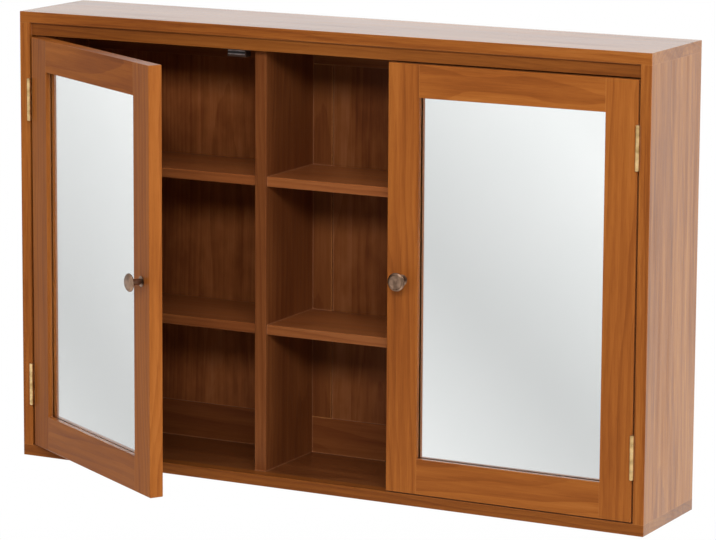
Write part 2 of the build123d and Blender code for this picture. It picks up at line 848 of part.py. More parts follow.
def make_door(side, swing, opening):
    """A whole door, its pieces placed in the door's own frame at its angle of opening."""
    turn = radians(opening)
    origin = (-swing * hinge_axis_x, hinge_axis_y, 0)
    plane = Plane(origin, x_dir=(cos(turn), -swing * sin(turn), 0), z_dir=(0, 0, 1))
    name = f"{side}_door"
    leaf_seats = leaf_screw_seats(swing)
    strike_seats = strike_screw_seats(swing)
    make_stile(plane, swing, f"{name}_hinge_stile", hinge_edge_u, opening_low_u, leaf_seats, False)
    make_stile(plane, swing, f"{name}_free_stile", free_edge_u, opening_high_u, strike_seats, True)
    make_rail(plane, swing, f"{name}_bottom_rail", "bottom", door_bottom_z, opening_low_z)
    make_rail(plane, swing, f"{name}_top_rail", "top", door_top_z, opening_high_z)
    make_pane(plane, swing, f"{side}_mirror", rebate_front_v, mirror_back_v)
    make_pane(plane, swing, f"{side}_mirror_backing", mirror_back_v, backing_back_v)
    make_beads(plane, swing, f"{side}_mirror_beads")
    make_knob(plane, swing, f"{side}_knob")
    make_knob_screw(plane, swing, f"{side}_knob_screw")
    make_strike(plane, swing, f"{side}_strike_plate")
    make_leaves(plane, swing, 1, f"{side}_door_leaves")
    make_screws(leaf_seats + strike_seats, f"{side}_door_screws", plane=plane)


make_end_board("top_board", roof_z, top_z)
make_end_board("bottom_board", floor_z, base_z)
make_side("left_side", -1)
make_side("right_side", 1)
make_divider("left_divider", -1)
make_divider("right_divider", 1)
make_header()
make_shelves()
make_dowels()
make_back()
make_hangers()
make_catch_housing("left_catch_housing", -1)
make_catch_housing("right_catch_housing", 1)
make_catch_insides()
make_screws(catch_screw_seats(-1) + catch_screw_seats(1), "catch_screws")
for side, swing, opening in (("left", 1, left_door_angle), ("right", -1, 0.0)):
    hinge_frame = Plane((-swing * hinge_axis_x, hinge_axis_y, 0))
    make_leaves(hinge_frame, -swing, 0, f"{side}_case_leaves")
    make_screws(leaf_screw_seats(-swing), f"{side}_case_leaf_screws", plane=hinge_frame)
    make_door(side, swing, opening)
make_hinge_pins()
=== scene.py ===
"""Looks of the bathroom mirror cabinet: lacquered wood, mirrors, brass hinges and bronze knobs."""

import json
import math

import bmesh
import bpy
from mathutils import Matrix, Vector


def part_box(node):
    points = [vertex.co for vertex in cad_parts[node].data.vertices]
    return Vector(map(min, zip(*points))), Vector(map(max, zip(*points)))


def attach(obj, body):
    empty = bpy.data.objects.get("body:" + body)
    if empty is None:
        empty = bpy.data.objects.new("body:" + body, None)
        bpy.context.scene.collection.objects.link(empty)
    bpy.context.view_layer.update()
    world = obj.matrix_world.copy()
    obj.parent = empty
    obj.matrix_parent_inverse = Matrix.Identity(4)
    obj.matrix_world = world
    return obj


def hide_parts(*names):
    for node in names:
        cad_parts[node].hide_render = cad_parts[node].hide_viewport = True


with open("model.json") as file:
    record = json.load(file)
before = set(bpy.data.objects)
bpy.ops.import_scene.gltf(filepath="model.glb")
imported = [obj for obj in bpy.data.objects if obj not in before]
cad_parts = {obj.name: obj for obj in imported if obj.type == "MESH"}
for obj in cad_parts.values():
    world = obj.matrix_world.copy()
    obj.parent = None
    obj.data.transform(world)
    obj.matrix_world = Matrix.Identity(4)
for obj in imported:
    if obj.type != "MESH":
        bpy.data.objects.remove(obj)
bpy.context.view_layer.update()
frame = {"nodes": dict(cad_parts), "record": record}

NODES = frame["nodes"]
LEFT_DOOR_TURN = math.radians(32.0)


def case_inside():
    """The two opposite corners of the space between the sides, the top, the bottom and the back."""
    low_side, high_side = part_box("left_side"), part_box("right_side")
    front_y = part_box("left_divider")[0].y
    wall_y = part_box("back_top_rail")[1].y
    low = (low_side[1].x, front_y, low_side[0].z)
    high = (high_side[0].x, wall_y, high_side[1].z)
    return low, high


CASE_INSIDE = case_inside()
CASE_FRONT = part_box("left_side")[0].y


# Shader nodes

class Graph:
    """A material's or the world's node tree, with one short call for each kind of node."""

    def __init__(self, tree):
        tree.nodes.clear()
        self.tree = tree

    def node(self, kind, inputs=(), **settings):
        """Adds a node. An input is a value or another node's output."""
        made = self.tree.nodes.new(kind)
        for key, value in settings.items():
            setattr(made, key, value)
        for key, value in dict(inputs).items():
            if isinstance(value, bpy.types.NodeSocket):
                self.tree.links.new(value, made.inputs[key])
            else:
                made.inputs[key].default_value = value
        return made

    def math(self, operation, first, second=0.0, third=0.0, clamp=False):
        values = {0: first, 1: second, 2: third}
        return self.node("ShaderNodeMath", values, operation=operation, use_clamp=clamp).outputs[0]

    def vector(self, operation, first, second):
        return self.node("ShaderNodeVectorMath", {0: first, 1: second}, operation=operation).outputs[0]

    def noise(self, vector, scale, detail, roughness=0.5):
        """A noise of about 0 to 1."""
        inputs = {"Vector": vector, "Scale": scale, "Detail": detail, "Roughness": roughness}
        return self.node("ShaderNodeTexNoise", inputs).outputs["Fac"]

    def length(self, vector):
        return self.node("ShaderNodeVectorMath", {0: vector}, operation="LENGTH").outputs["Value"]

    def dot(self, first, second):
        inputs = {0: first, 1: second}
        return self.node("ShaderNodeVectorMath", inputs, operation="DOT_PRODUCT").outputs["Value"]

    def swing(self, value, share, base):
        """The base, plus a share of a noise's swing about its middle."""
        return self.math("MULTIPLY_ADD", self.math("SUBTRACT", value, 0.5), share, base)

    def chance(self, number):
        """A value from 0 to 1 that is fixed for each whole number."""
        return self.node("ShaderNodeTexWhiteNoise", {"W": number}, noise_dimensions="1D").outputs["Value"]

    def span(self, value, low, high, to_low=0.0, to_high=1.0):
        """A value's stretch from low to high as a smooth stretch from to_low to to_high."""
        inputs = {"Value": value, "From Min": low, "From Max": high, "To Min": to_low, "To Max": to_high}
        return self.node("ShaderNodeMapRange", inputs, interpolation_type="SMOOTHSTEP").outputs[0]

    def mix(self, factor, first, second, blend="MIX"):
        """A mix of two colours."""
        inputs = {"Factor": factor, "A": first, "B": second}
        made = self.tree.nodes.new("ShaderNodeMix")
        made.data_type = "RGBA"
        made.blend_type = blend
        for name, value in inputs.items():
            socket = next(s for s in made.inputs if s.name == name and s.enabled)
            if isinstance(value, bpy.types.NodeSocket):
                self.tree.links.new(value, socket)
            else:
                socket.default_value = value
        return next(s for s in made.outputs if s.enabled)

    def ramp(self, value, stops):
        """A colour ramp from a list of places and colours."""
        made = self.node("ShaderNodeValToRGB", {0: value})
        ramp = made.color_ramp
        while len(ramp.elements) < len(stops):
            ramp.elements.new(1.0)
        for element, (place, colour) in zip(ramp.elements, stops):
            element.position = place
            element.color = colour
        return made.outputs["Color"]

    def edges(self, radius):
        """Near 1 on edges sharper than the radius, and 0 on flats."""
        rounded = self.node("ShaderNodeBevel", {"Radius": radius}, samples=4).outputs[0]
        flat = self.node("ShaderNodeNewGeometry").outputs["Normal"]
        return self.span(self.dot(rounded, flat), 0.97, 0.75)

    def corners(self, distance):
        """Near 1 in inner corners, and 0 in the open."""
        open_sky = self.node("ShaderNodeAmbientOcclusion", {"Distance": distance}, samples=6).outputs["AO"]
        return self.span(open_sky, 0.85, 0.35)


def grey(level):
    return (level, level, level, 1)


def new_material(name):
    material = bpy.data.materials.new(name)
    material.use_nodes = True
    return material, Graph(material.node_tree)


def shade(graph, colour, roughness, bump=None, bump_depth=0.0, bump_strength=0.0, **settings):
    """The material's shader and output. Settings are constant values of the shader's own sockets."""
    inputs = {"Base Color": colour, "Roughness": roughness}
    inputs.update({key.replace("_", " "): value for key, value in settings.items()})
    if bump is not None:
        relief = {"Height": bump, "Distance": bump_depth, "Strength": bump_strength}
        inputs["Normal"] = graph.node("ShaderNodeBump", relief).outputs[0]
    shader = graph.node("ShaderNodeBsdfPrincipled", inputs)
    graph.node("ShaderNodeOutputMaterial", {"Surface": shader.outputs[0]})
    return shader


def object_place(graph, turn=0.0):
    """The place on the part at rest, in metres, turned about the upright axis."""
    place = graph.node("ShaderNodeTexCoord").outputs["Object"]
    if turn:
        place = graph.node("ShaderNodeMapping", {"Vector": place, "Rotation": (0, 0, turn)}).outputs[0]
    return place


# Wood

WOOD_DARK = (0.170, 0.043, 0.0085, 1)
WOOD_BROWN = (0.285, 0.080, 0.0145, 1)
WOOD_HONEY = (0.392, 0.121, 0.0220, 1)
WOOD_LIGHT = (0.500, 0.178, 0.0400, 1)
WOOD_SHADES = [(0.0, WOOD_DARK), (0.38, WOOD_BROWN), (0.66, WOOD_HONEY), (1.0, WOOD_LIGHT)]
# Edge colour: lighter for worn lacquer, and as a painted highlight on the arrises.
EDGE_WEAR_AND_HIGHLIGHT = (0.62, 0.27, 0.080, 1)
# Inner corner colour: lighter for the lacquer pooled there, and as its painted highlight.
CORNER_LACQUER_AND_HIGHLIGHT = (0.42, 0.190, 0.095, 1)
CORNER_LACQUER_AND_HIGHLIGHT_SHARE = 0.55
CORNER_LACQUER_AND_HIGHLIGHT_REACH = 0.003
FULL_TONE = (1.0, 1.0, 1.0, 1)
# Painted shade: the darker, less orange tone of the wood inside the case.
INSIDE_SHADE_TONE = (0.58, 0.59, 0.92, 1)
# Painted sheen: the paler tone of the case's outside behind its front.
OUTSIDE_SHEEN_TONE = (1.12, 1.32, 1.02, 1)
WALL_FADE = 0.0005
INSIDE_SHADE_START = 0.003
INSIDE_SHADE_END = 0.001
OUTSIDE_SHEEN_FADE = 0.002

# Lacquers: where the sheen starts and ends as the view gets more glancing, and the refraction

SATIN = (0.46, 0.74, 1.5)
POLISH = (0.15, 0.42, 1.5)
GLOSS = 0.09
TOP_RAIL_GLOSS = (0.035, GLOSS)
DOOR_STILE_GLOSS = (0.07, GLOSS)
COAT_ROUGHNESS = 0.22
WOOD_RELIEF = 0.00018
WOOD_RELIEF_STRENGTH = 0.35

# Patterns: repeats in a metre along and across the grain, and a shift that sets each apart

FIBRES = (22.0, 480.0, 1.0)
STREAKS = (3.5, 95.0, 2.0)
CLOUDS = (2.0, 11.0, 3.0)
MOTTLES = (24.0, 42.0, 4.0)
PORES = (55.0, 1350.0, 6.0)
WANDERS = (2.2, 9.0, 0.0)
RIPPLES = (9.0, 70.0, 5.0)

# Rings and staves

RING_WIDTH = 0.0062
WANDER_REACH = 0.030
RIPPLE_REACH = 0.0022
LOG_TAPER = 0.018
SEAM_WIDTH = 0.0006
STAVE_SHIFT = 0.11
FIRST_STAVE = 0.31

# What each pattern adds to the shade, from 0, which is dark, to 1, which is light

SHADE_MIDDLE = 0.59
STREAK_SHARE = 0.60
CLOUD_SHARE = 0.80
FIBRE_SHARE = 0.36
LATE_WOOD_SHARE = -0.22
PORE_SHARE = -0.10
STAVE_SHARE = 0.28
SEAM_SHARE = -0.18


def between_walls(graph, parts):
    """1 between the sides, the top and the bottom of the case, and 0 outside them."""
    (low_x, _, low_z), (high_x, _, high_z) = CASE_INSIDE
    across = graph.math(
        "MULTIPLY",
        graph.span(parts["X"], low_x - WALL_FADE, low_x),
        graph.span(parts["X"], high_x + WALL_FADE, high_x),
    )
    upward = graph.math(
        "MULTIPLY",
        graph.span(parts["Z"], low_z - WALL_FADE, low_z),
        graph.span(parts["Z"], high_z + WALL_FADE, high_z),
    )
    return graph.math("MULTIPLY", across, upward)


def painted_inside_shade(graph, place):
    """1 inside the case, where the wood gets a painted shade, and 0 outside."""
    parts = graph.node("ShaderNodeSeparateXYZ", {0: place}).outputs
    front = CASE_INSIDE[0][1]
    deep = graph.span(parts["Y"], front - INSIDE_SHADE_START, front - INSIDE_SHADE_END)
    return graph.math("MULTIPLY", between_walls(graph, parts), deep)


def painted_outside_sheen(graph, place):
    """1 on the case's outside behind its front, where a glancing sheen is painted on the wood, and 0
    elsewhere.
    """
    parts = graph.node("ShaderNodeSeparateXYZ", {0: place}).outputs
    behind = graph.span(parts["Y"], CASE_FRONT, CASE_FRONT + OUTSIDE_SHEEN_FADE)
    return graph.math("SUBTRACT", behind, between_walls(graph, parts), clamp=True)


class Board:
    """A board's places along and across its grain, from which the wood's patterns are made."""

    def __init__(self, graph, name, grain, place):
        parts = graph.node("ShaderNodeSeparateXYZ", {0: place}).outputs
        self.graph = graph
        self.along = parts["XYZ".index(grain)]
        self.across = [parts[i] for i in range(3) if "XYZ"[i] != grain]
        self.seed = sum(ord(c) * (i + 3) for i, c in enumerate(name)) % 97 * 0.731

    def pattern(self, repeats, detail, roughness=0.5):
        """A noise drawn out along the grain."""
        g = self.graph
        along_scale, across_scale, shift = repeats
        values = {
            0: g.math("MULTIPLY_ADD", self.along, along_scale, self.seed + shift),
            1: g.math("MULTIPLY_ADD", self.across[0], across_scale, self.seed * 0.61),
            2: g.math("MULTIPLY_ADD", self.across[1], across_scale, self.seed * 1.37),
        }
        stretched = g.node("ShaderNodeCombineXYZ", values).outputs[0]
        return g.noise(stretched, 1.0, detail, roughness)

    def staves(self, width):
        """The tone of each glued stave of that width, and near 1 on the seams between them."""
        g = self.graph
        number = g.math("ADD", g.math("DIVIDE", self.across[0], width), FIRST_STAVE + self.seed)
        tone = g.chance(g.math("FLOOR", number))
        beside = g.math("ABSOLUTE", g.math("SUBTRACT", g.math("FRACT", number), 0.5))
        return tone, g.span(beside, 0.5 - SEAM_WIDTH / width, 0.5)

    def late_wood(self, heart, stave_shift):
        """Near 1 in the dark end of each yearly ring, and 0 in the rest of it."""
        g = self.graph
        wander = g.math("SUBTRACT", self.pattern(WANDERS, 2.0), 0.5)
        ripple = g.math("SUBTRACT", self.pattern(RIPPLES, 3.0), 0.5)
        beside = g.math("ADD", g.math("SUBTRACT", self.across[0], heart[0]), stave_shift)
        behind = g.math("SUBTRACT", self.across[1], heart[1])
        squares = g.math("ADD", g.math("POWER", beside, 2.0), g.math("POWER", behind, 2.0))
        radius = g.math("SQRT", squares)
        radius = g.math("MULTIPLY_ADD", wander, WANDER_REACH, radius)
        radius = g.math("MULTIPLY_ADD", ripple, RIPPLE_REACH, radius)
        radius = g.math("MULTIPLY_ADD", self.along, LOG_TAPER, radius)
        rings = g.math("DIVIDE", radius, RING_WIDTH)
        ring = g.math("FRACT", rings)
        depth = g.chance(g.math("FLOOR", rings))
        late = g.math("MULTIPLY", g.span(ring, 0.25, 0.97), g.span(ring, 1.0, 0.96))
        return g.math("MULTIPLY", late, g.math("MULTIPLY_ADD", depth, 0.7, 0.3))


def painted_case_light(graph, colour, place):
    """The case's wood with painted light: paler outside, where a glancing sheen is painted, and darker
    inside, where shade is painted.
    """
    tone = graph.mix(painted_outside_sheen(graph, place), FULL_TONE, OUTSIDE_SHEEN_TONE)
    tone = graph.mix(painted_inside_shade(graph, place), tone, INSIDE_SHADE_TONE)
    return graph.mix(1.0, colour, tone, "MULTIPLY")


def wood(name, grain, centre, heart, tone=1.0, turn=0.0, staves=0.0, figure=0.0, lacquer=SATIN,
         streaks=1.0, worn=0.4, worn_width=0.0012, gloss=GLOSS):
    """Lacquered wood cut from its own log. The grain is the axis that it runs along, the centre is the
    board's middle, and the heart is the log's middle seen from there, in the two axes across the grain.
    Staves give the width of the glued strips, figure the strength of the mottle, and streaks that of the
    fine lines. The gloss is the shine of the wood under its lacquer."""
    material, g = new_material(name)
    whole_place = object_place(g, turn)
    board = Board(g, name, grain, g.vector("SUBTRACT", whole_place, centre))
    stave_shift = 0.0
    if staves:
        stave_tone, seam = board.staves(staves)
        stave_shift = g.swing(stave_tone, STAVE_SHIFT, 0.0)
    late = board.late_wood(heart, stave_shift)
    fibre = board.pattern(FIBRES, 3.0, 0.6)
    streak = board.pattern(STREAKS, 3.0, 0.6)
    pores = g.span(board.pattern(PORES, 1.0), 0.60, 0.72)

    shade_of = g.swing(streak, STREAK_SHARE * streaks, SHADE_MIDDLE)
    shade_of = g.swing(board.pattern(CLOUDS, 2.0), CLOUD_SHARE, shade_of)
    shade_of = g.swing(fibre, FIBRE_SHARE * streaks, shade_of)
    shade_of = g.math("MULTIPLY_ADD", late, LATE_WOOD_SHARE, shade_of)
    shade_of = g.math("MULTIPLY_ADD", pores, PORE_SHARE, shade_of)
    shade_of = g.swing(board.pattern(MOTTLES, 2.0), figure, shade_of)
    if staves:
        shade_of = g.swing(stave_tone, STAVE_SHARE, shade_of)
        shade_of = g.math("MULTIPLY_ADD", seam, SEAM_SHARE, shade_of)
    colour = g.mix(1.0, g.ramp(shade_of, WOOD_SHADES), grey(tone), "MULTIPLY")
    # Boards at rest get painted light: a paler sheen outside the case and a darker shade inside it.
    if not turn:
        colour = painted_case_light(g, colour, whole_place)
    # Lighter edges: partly wear, partly a painted highlight.
    colour = g.mix(g.math("MULTIPLY", g.edges(worn_width), worn), colour, EDGE_WEAR_AND_HIGHLIGHT)
    # Lighter inner corners: pooled lacquer and its painted highlight.
    colour = g.mix(g.math("MULTIPLY", g.corners(CORNER_LACQUER_AND_HIGHLIGHT_REACH), CORNER_LACQUER_AND_HIGHLIGHT_SHARE), colour, CORNER_LACQUER_AND_HIGHLIGHT)

    rough = g.math("MULTIPLY_ADD", fibre, 0.16, 0.30)
    rough = g.math("MULTIPLY_ADD", late, -0.05, rough)
    sunk = g.math("ADD", pores, g.math("MULTIPLY", late, 0.5))
    relief = g.math("SUBTRACT", g.math("MULTIPLY", fibre, 0.5), sunk)
    sheen_start, sheen_end, refraction = lacquer
    shader = shade(
        g, colour, rough, relief, WOOD_RELIEF, WOOD_RELIEF_STRENGTH,
        Specular_IOR_Level=gloss, Coat_Roughness=COAT_ROUGHNESS, Coat_IOR=refraction,
    )
    glancing = g.node("ShaderNodeLayerWeight", {"Blend": 0.35}).outputs["Facing"]
    streaky = g.swing(streak, 1.6, 1.0)
    sheen = g.math("MULTIPLY", g.span(glancing, sheen_start, sheen_end), streaky, clamp=True)
    g.tree.links.new(sheen, shader.inputs["Coat Weight"])
    return material


def turned(point, turn):
    """A point's place in the frame of a door that stands open by that turn."""
    return Matrix.Rotation(turn, 3, "Z") @ Vector(point)


def board_middle(name, turn=0.0):
    """The middle of a board, in the frame of its door."""
    low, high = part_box(name)
    return turned((low + high) / 2, turn)


def dress_board(name, grain, heart, tone=1.0, turn=0.0, **looks):
    """Gives a board wood of its own."""
    middle = board_middle(name, turn)
    wear(NODES[name], wood(f"wood_{name}", grain, middle, heart, tone, turn, **looks))


def wear(node, material):
    """Gives a node its one material."""
    if node.material_slots:
        for slot in node.material_slots:
            slot.material = material
    else:
        node.data.materials.append(material)


def dress_case():
    """The boards of the case, each with its own log and tone."""
    dress_board("top_board", "X", (0.03, -0.11), 0.92, staves=0.062, lacquer=POLISH, streaks=1.5)
    dress_board("bottom_board", "X", (-0.02, -0.09), 0.76, staves=0.058, lacquer=POLISH)
    dress_board("left_side", "Z", (0.10, 0.03), 0.98, staves=0.066, lacquer=POLISH, streaks=1.5)
    dress_board("right_side", "Z", (-0.12, -0.04), 0.94, staves=0.060, lacquer=POLISH, streaks=1.9)
    dress_board("left_divider", "Z", (-0.11, 0.05), 0.97, staves=0.055)
    dress_board("right_divider", "Z", (0.12, -0.03), 0.97, staves=0.061)
    dress_board("header_rail", "X", (0.02, -0.13), 0.72)
    for i, bay in enumerate(("left", "centre", "right")):
        upper_tone = 1.46 - 0.06 * i
        lower_tone = 1.18 + 0.02 * i
        panel_tone = 1.15 - 0.25 * (i == 1)
        dress_board(f"{bay}_upper_shelf", "X", (0.04 - 0.03 * i, -0.10), upper_tone, staves=0.056)
        dress_board(f"{bay}_lower_shelf", "X", (-0.03 + 0.03 * i, -0.12), lower_tone, staves=0.064)
        dress_board(f"back_{bay}_panel", "Z", (0.05 - 0.04 * i, 0.08), panel_tone, staves=0.094, figure=0.7)
    dress_board("back_top_rail", "X", (-0.10, 0.04), 1.00)
    dress_board("back_bottom_rail", "X", (-0.11, -0.02), 1.00)
    for i, side in enumerate(("left", "right")):
        dress_board(f"back_{side}_stile", "Z", (0.03 - 0.05 * i, 0.09), 1.00)
        # The muntins' arrises get a full, wide painted highlight line, on top of their wear.
        dress_board(f"back_{side}_muntin", "Z", (0.01 + 0.03 * i, 0.10), 0.82, worn=1.0, worn_width=0.003)


def dress_door(side, i, turn):
    """The frame and beads of a door. The left door is the first, at i = 0."""
    stiles = {"turn": turn, "gloss": DOOR_STILE_GLOSS[i]}
    top_rail = {"turn": turn, "gloss": TOP_RAIL_GLOSS[i]}
    dress_board(f"{side}_door_hinge_stile", "Z", (0.06 - 0.02 * i, 0.05), 0.97 + 0.04 * i, **stiles)
    dress_board(f"{side}_door_free_stile", "Z", (-0.07 + 0.03 * i, 0.06), 0.99 + 0.02 * i, **stiles)
    dress_board(f"{side}_door_top_rail", "X", (0.075, 0.012 - 0.010 * i), 1.06 - 0.05 * i, **top_rail)
    dress_board(f"{side}_door_bottom_rail", "X", (0.08, 0.05 - 0.02 * i), 0.94 + 0.04 * i, turn)
    dress_board(f"{side}_mirror_beads", "Z", (0.3, 0.1), 0.95, turn)


# Metal, plastic and board

BRASS_LIGHT = (0.80, 0.56, 0.27, 1)
BRASS_DARK = (0.46, 0.29, 0.11, 1)
BRASS_WORN = (0.92, 0.72, 0.42, 1)
BRONZE_LIGHT = (0.330, 0.210, 0.142, 1)
BRONZE_DARK = (0.135, 0.082, 0.055, 1)
BRONZE_WORN = (0.50, 0.31, 0.19, 1)
ZINC_LIGHT = (0.56, 0.56, 0.57, 1)
ZINC_DARK = (0.30, 0.30, 0.32, 1)
ZINC_WORN = (0.85, 0.85, 0.86, 1)
PLASTIC_LIGHT = (0.050, 0.024, 0.014, 1)
PLASTIC_DARK = (0.028, 0.013, 0.008, 1)
FERRITE_LIGHT = (0.030, 0.030, 0.032, 1)
FERRITE_DARK = (0.014, 0.014, 0.015, 1)
HARDBOARD_SHADES = [
    (0.0, (0.055, 0.028, 0.013, 1)),
    (0.5, (0.130, 0.070, 0.034, 1)),
    (1.0, (0.260, 0.155, 0.080, 1)),
]
BEECH_SHADES = [(0.25, (0.36, 0.20, 0.09, 1)), (0.75, (0.64, 0.44, 0.25, 1))]
BRUSH_ALONG = 18.0
BRUSH_ACROSS = 520.0
METAL_WEAR_WIDTH = 0.0006
PLASTIC_WEAR_WIDTH = 0.0005
GRIME_REACH = 0.0025
METAL_RELIEF = 0.00004
PLASTIC_RELIEF = 0.00005
FIBRE_RELIEF = 0.0002


def darker(colour, share):
    """A share of a colour."""
    return tuple(c * share for c in colour[:3]) + (1,)


def lighter(colour, share):
    """A colour made lighter, at most to white."""
    return tuple(min(1, c * share) for c in colour[:3]) + (1,)


def metal(name, light, dark, worn, roughness, brush_axis="Z", grime=0.5):
    """Metal with fine brush lines, worn edges and darker recesses."""
    material, g = new_material(name)
    place = object_place(g)
    repeats = [BRUSH_ACROSS, BRUSH_ACROSS, BRUSH_ACROSS]
    repeats["XYZ".index(brush_axis)] = BRUSH_ALONG
    brushed = g.noise(g.vector("MULTIPLY", place, tuple(repeats)), 1.0, 3.0, 0.65)
    blotch = g.noise(place, 95.0, 3.0)
    mixed = g.swing(brushed, 0.5, g.span(blotch, 0.30, 0.70))
    colour = g.mix(mixed, dark, light)
    colour = g.mix(g.math("MULTIPLY", g.edges(METAL_WEAR_WIDTH), 0.75), colour, worn)
    recess = g.math("MULTIPLY", g.corners(GRIME_REACH), grime)
    colour = g.mix(recess, colour, darker(dark, 0.25))
    rough = g.swing(brushed, 0.25, roughness)
    rough = g.swing(blotch, 0.15, rough)
    shade(g, colour, rough, brushed, METAL_RELIEF, 0.35, Metallic=1.0)
    return material


def plastic(name, light, dark, roughness):
    """Moulded plastic with a fine texture and paler edges."""
    material, g = new_material(name)
    place = object_place(g)
    grain = g.noise(place, 1600.0, 2.0)
    cloud = g.noise(place, 60.0, 2.0)
    colour = g.mix(g.span(cloud, 0.35, 0.65), dark, light)
    edge = g.math("MULTIPLY", g.edges(PLASTIC_WEAR_WIDTH), 0.4)
    colour = g.mix(edge, colour, lighter(light, 1.7))
    rough = g.math("MULTIPLY_ADD", grain, 0.15, roughness)
    shade(g, colour, rough, grain, PLASTIC_RELIEF, 0.4, Specular_IOR_Level=0.5)
    return material


def hardboard(name):
    """Pressed brown board: short fibres and flecks."""
    material, g = new_material(name)
    place = object_place(g)
    fleck = g.noise(place, 750.0, 3.0, 0.7)
    cloud = g.noise(place, 14.0, 3.0)
    shade_of = g.swing(fleck, 0.9, g.math("MULTIPLY_ADD", cloud, 0.4, 0.3))
    colour = g.ramp(shade_of, HARDBOARD_SHADES)
    rough = g.math("MULTIPLY_ADD", fleck, 0.2, 0.6)
    shade(g, colour, rough, fleck, FIBRE_RELIEF, 0.5, Specular_IOR_Level=0.3)
    return material


def dowel_wood(name):
    """Plain beech with short fibres."""
    material, g = new_material(name)
    stretched = g.vector("MULTIPLY", object_place(g), (700.0, 700.0, 40.0))
    fibre = g.noise(stretched, 1.0, 3.0, 0.6)
    colour = g.ramp(fibre, BEECH_SHADES)
    shade(g, colour, g.math("MULTIPLY_ADD", fibre, 0.2, 0.5), fibre, FIBRE_RELIEF, 0.4)
    return material


def dress_fittings():
    """The hinges, knobs, catches, hangers, backing boards and dowels, by their record's material."""
    materials = {
        "hinge_brass": metal("satin_brass", BRASS_LIGHT, BRASS_DARK, BRASS_WORN, 0.34),
        "knob_bronze": metal("dark_bronze", BRONZE_LIGHT, BRONZE_DARK, BRONZE_WORN, 0.36, grime=0.8),
        "zinc_steel": metal("zinc_steel", ZINC_LIGHT, ZINC_DARK, ZINC_WORN, 0.33, "X"),
        "catch_plastic": plastic("brown_plastic", PLASTIC_LIGHT, PLASTIC_DARK, 0.42),
        "magnet": plastic("ferrite", FERRITE_LIGHT, FERRITE_DARK, 0.5),
        "hardboard": hardboard("hardboard"),
        "dowel_wood": dowel_wood("dowel_wood"),
    }
    for part in frame["record"]["subparts"]:
        if part["material_slot"] in materials:
            wear(NODES[part["node"]], materials[part["material_slot"]])


# Mirrors

GLASS_CHAMFER = 0.0007
SILVER_THICKNESS = 0.00012
SILVER_GAP = 0.2 * SILVER_THICKNESS
GLASS_TINT = (0.985, 0.993, 0.990, 1)
SILVER_DARK = (0.925, 0.935, 0.935, 1)
SILVER_LIGHT = (0.945, 0.95, 0.95, 1)


def clear_glass(name):
    """Float glass with faint smudges."""
    material, g = new_material(name)
    smudge = g.noise(object_place(g), 9.0, 4.0, 0.6)
    rough = g.span(smudge, 0.35, 0.80, 0.0, 0.012)
    shade(g, GLASS_TINT, rough, Transmission_Weight=1.0, IOR=1.5, Specular_IOR_Level=0.5)
    return material


def silvering(name):
    """The bright metal film on the back of a mirror."""
    material, g = new_material(name)
    cloud = g.noise(object_place(g), 5.0, 3.0)
    colour = g.mix(g.span(cloud, 0.3, 0.7), SILVER_DARK, SILVER_LIGHT)
    shade(g, colour, g.span(cloud, 0.3, 0.8, 0.008, 0.02), Metallic=1.0)
    return material


def add_slab(shape, low, high, bevel, material_index):
    """A box with chamfered edges, added to a mesh under construction."""
    made = bmesh.ops.create_cube(shape, size=1.0)["verts"]
    size = [end - start for start, end in zip(low, high)]
    middle = [(start + end) / 2 for start, end in zip(low, high)]
    placed = Matrix.Translation(middle) @ Matrix.Diagonal((*size, 1))
    bmesh.ops.transform(shape, matrix=placed, verts=made)
    faces = {face for vert in made for face in vert.link_faces}
    if bevel:
        edges = list({edge for vert in made for edge in vert.link_edges})
        result = bmesh.ops.bevel(shape, geom=edges, offset=bevel, segments=2, affect="EDGES", profile=0.5)
        faces = {face for face in faces if face.is_valid} | set(result["faces"])
    for face in faces:
        face.material_index = material_index


def make_mirror(side, turn, glass, silver):
    """A mirror pane: clear float glass with ground edges, silvered on its back."""
    name = f"{side}_mirror"
    corners = [turned(vertex.co, turn) for vertex in NODES[name].data.vertices]
    low = [min(c[i] for c in corners) for i in range(3)]
    high = [max(c[i] for c in corners) for i in range(3)]
    glass_back = high[1] - SILVER_THICKNESS
    silver_low = (low[0] + GLASS_CHAMFER, glass_back + SILVER_GAP, low[2] + GLASS_CHAMFER)
    silver_high = (high[0] - GLASS_CHAMFER, high[1], high[2] - GLASS_CHAMFER)
    shape = bmesh.new()
    add_slab(shape, low, (high[0], glass_back, high[2]), GLASS_CHAMFER, 0)
    add_slab(shape, silver_low, silver_high, 0.0, 1)
    bmesh.ops.transform(shape, matrix=Matrix.Rotation(-turn, 4, "Z"), verts=shape.verts)
    mesh = bpy.data.meshes.new(f"{name}_pane")
    shape.to_mesh(mesh)
    shape.free()
    mesh.materials.append(glass)
    mesh.materials.append(silver)
    pane = bpy.data.objects.new(f"{name}_pane", mesh)
    bpy.context.scene.collection.objects.link(pane)
    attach(pane, f"{side}_door")
    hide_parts(name)


def make_mirrors():
    """Both mirrors, of the same glass and silver."""
    glass = clear_glass("clear_glass")
    silver = silvering("silvering")
    make_mirror("left", LEFT_DOOR_TURN, glass, silver)
    make_mirror("right", 0.0, glass, silver)


# Studio

